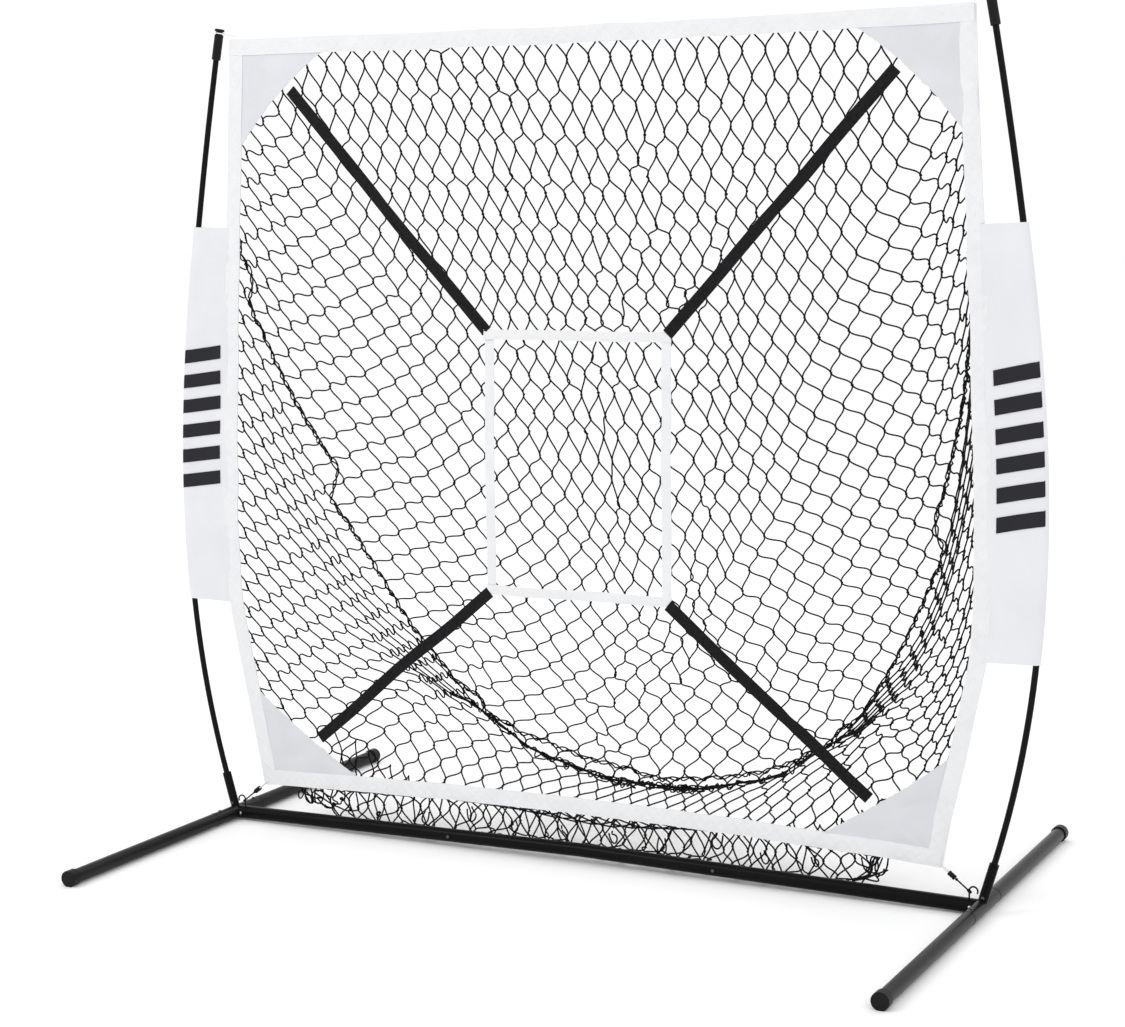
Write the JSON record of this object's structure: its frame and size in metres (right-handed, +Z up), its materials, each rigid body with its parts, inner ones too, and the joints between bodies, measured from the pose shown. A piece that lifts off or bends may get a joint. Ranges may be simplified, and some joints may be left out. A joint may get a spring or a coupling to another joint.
{
  "type": "pitching target net",
  "caption": "Freestanding bow-framed pitching net: steel base with plug-in legs, bent poles, white border, deep netting bag and a strike zone on straps.",
  "frame": {"origin": "on the floor under the middle of the crossbar, which is the bottom centre of the whole object", "axes": "X along the crossbar, +Y towards the back of the bag, +Z up"},
  "size_m": [1.733, 1.06, 1.5474],
  "materials": {
    "black_steel": "satin",
    "grey_steel": "satin",
    "black_plastic": "matte",
    "zinc": "satin",
    "fibreglass": "gloss",
    "white_tape": "matte",
    "white_cloth": "matte",
    "black_webbing": "matte",
    "netting": "matte",
    "elastic_cord": "matte"
  },
  "bodies": {
    "frame": {"hub_left": "grey_steel", "pole_socket_left": "black_steel", "crossbar_left": "black_steel", "leg_front_left": "grey_steel", "end_cap_front_left": "black_plastic", "leg_rear_left": "grey_steel", "end_cap_rear_left": "black_plastic", "pole_lower_left": "fibreglass", "pole_middle_left": "fibreglass", "pole_upper_left": "fibreglass", "pole_cap_left": "black_plastic", "border_left": "white_tape", "side_sleeve_left": "white_cloth", "patch_top_left": "white_cloth", "strap_top_left": "black_webbing", "patch_bottom_left": "white_cloth", "strap_bottom_left": "black_webbing", "net_side_left": "netting", "hub_right": "grey_steel", "pole_socket_right": "black_steel", "crossbar_right": "black_steel", "leg_front_right": "grey_steel", "end_cap_front_right": "black_plastic", "leg_rear_right": "grey_steel", "end_cap_rear_right": "black_plastic", "pole_lower_right": "fibreglass", "pole_middle_right": "fibreglass", "pole_upper_right": "fibreglass", "pole_cap_right": "black_plastic", "border_right": "white_tape", "side_sleeve_right": "white_cloth", "patch_top_right": "white_cloth", "strap_top_right": "black_webbing", "patch_bottom_right": "white_cloth", "strap_bottom_right": "black_webbing", "net_side_right": "netting", "crossbar_center": "black_steel", "net_hooks": "black_steel", "hook_links": "black_steel", "button_springs": "zinc", "crossbar_rivets": "zinc", "socket_rivets": "zinc", "pole_ferrules": "zinc", "border_top": "white_tape", "border_bottom": "white_tape", "strike_zone": "white_tape", "net_floor": "netting", "corner_elastics": "elastic_cord", "cord_barrels": "black_plastic"},
    "net_pocket": {"net_back": "netting"},
    "leg_button_front_left": {"leg_button_front_left": "zinc"},
    "leg_button_rear_left": {"leg_button_rear_left": "zinc"},
    "leg_button_front_right": {"leg_button_front_right": "zinc"},
    "leg_button_rear_right": {"leg_button_rear_right": "zinc"},
    "bar_button_left": {"bar_button_left": "zinc"},
    "bar_button_right": {"bar_button_right": "zinc"}
  },
  "joints": [
    {"name": "net_give", "type": "slide", "parent": "frame", "child": "net_pocket", "axis": [0, 1, 0], "range_m": [0, 0.1], "stiffness_N_per_m": 200},
    {"name": "leg_button_front_left_press", "type": "slide", "parent": "frame", "child": "leg_button_front_left", "axis": [0, 0, -1], "range_m": [0, 0.0037], "stiffness_N_per_m": 1200},
    {"name": "leg_button_rear_left_press", "type": "slide", "parent": "frame", "child": "leg_button_rear_left", "axis": [0, 0, -1], "range_m": [0, 0.0037], "stiffness_N_per_m": 1200},
    {"name": "leg_button_front_right_press", "type": "slide", "parent": "frame", "child": "leg_button_front_right", "axis": [0, 0, -1], "range_m": [0, 0.0037], "stiffness_N_per_m": 1200},
    {"name": "leg_button_rear_right_press", "type": "slide", "parent": "frame", "child": "leg_button_rear_right", "axis": [0, 0, -1], "range_m": [0, 0.0037], "stiffness_N_per_m": 1200},
    {"name": "bar_button_left_press", "type": "slide", "parent": "frame", "child": "bar_button_left", "axis": [0, 1, 0], "range_m": [0, 0.0037], "stiffness_N_per_m": 1200},
    {"name": "bar_button_right_press", "type": "slide", "parent": "frame", "child": "bar_button_right", "axis": [0, 1, 0], "range_m": [0, 0.0037], "stiffness_N_per_m": 1200}
  ]
}
